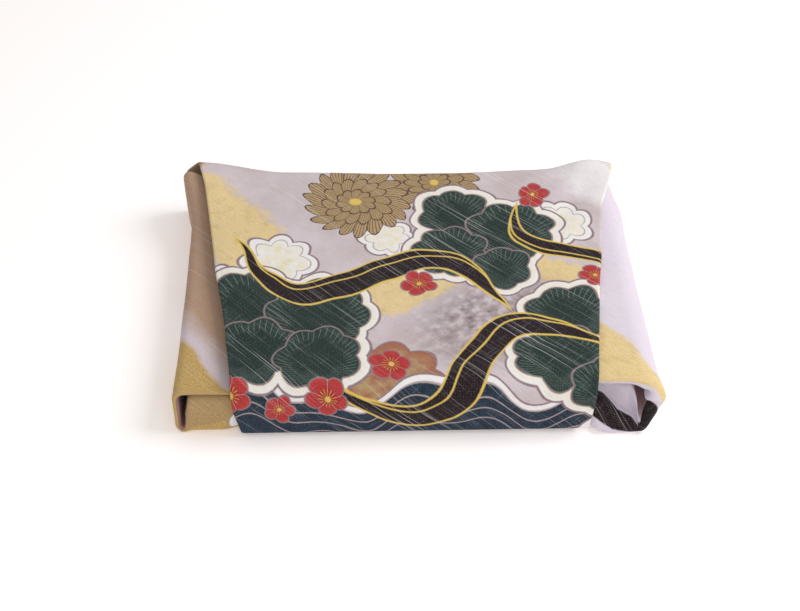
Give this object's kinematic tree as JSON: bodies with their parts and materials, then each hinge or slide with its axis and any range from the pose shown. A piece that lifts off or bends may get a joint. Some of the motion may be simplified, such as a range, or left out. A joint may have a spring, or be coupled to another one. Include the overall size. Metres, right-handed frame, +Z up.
{
  "type": "folded furoshiki wrap",
  "caption": "Square printed cotton wrapping cloth folded flat round its contents, side flaps rolled in and the back flap tucked under the front.",
  "frame": {"origin": "centre of the bounding box, on the surface it lies on", "axes": "+X to the right along the long side, +Y to the back, where the band comes up, +Z up"},
  "size_m": [0.285, 0.2035, 0.044],
  "materials": {
    "printed_cotton": "matt slub-weave cotton, printed"
  },
  "bodies": {
    "root": {"cloth": "printed_cotton"}
  },
  "joints": []
}
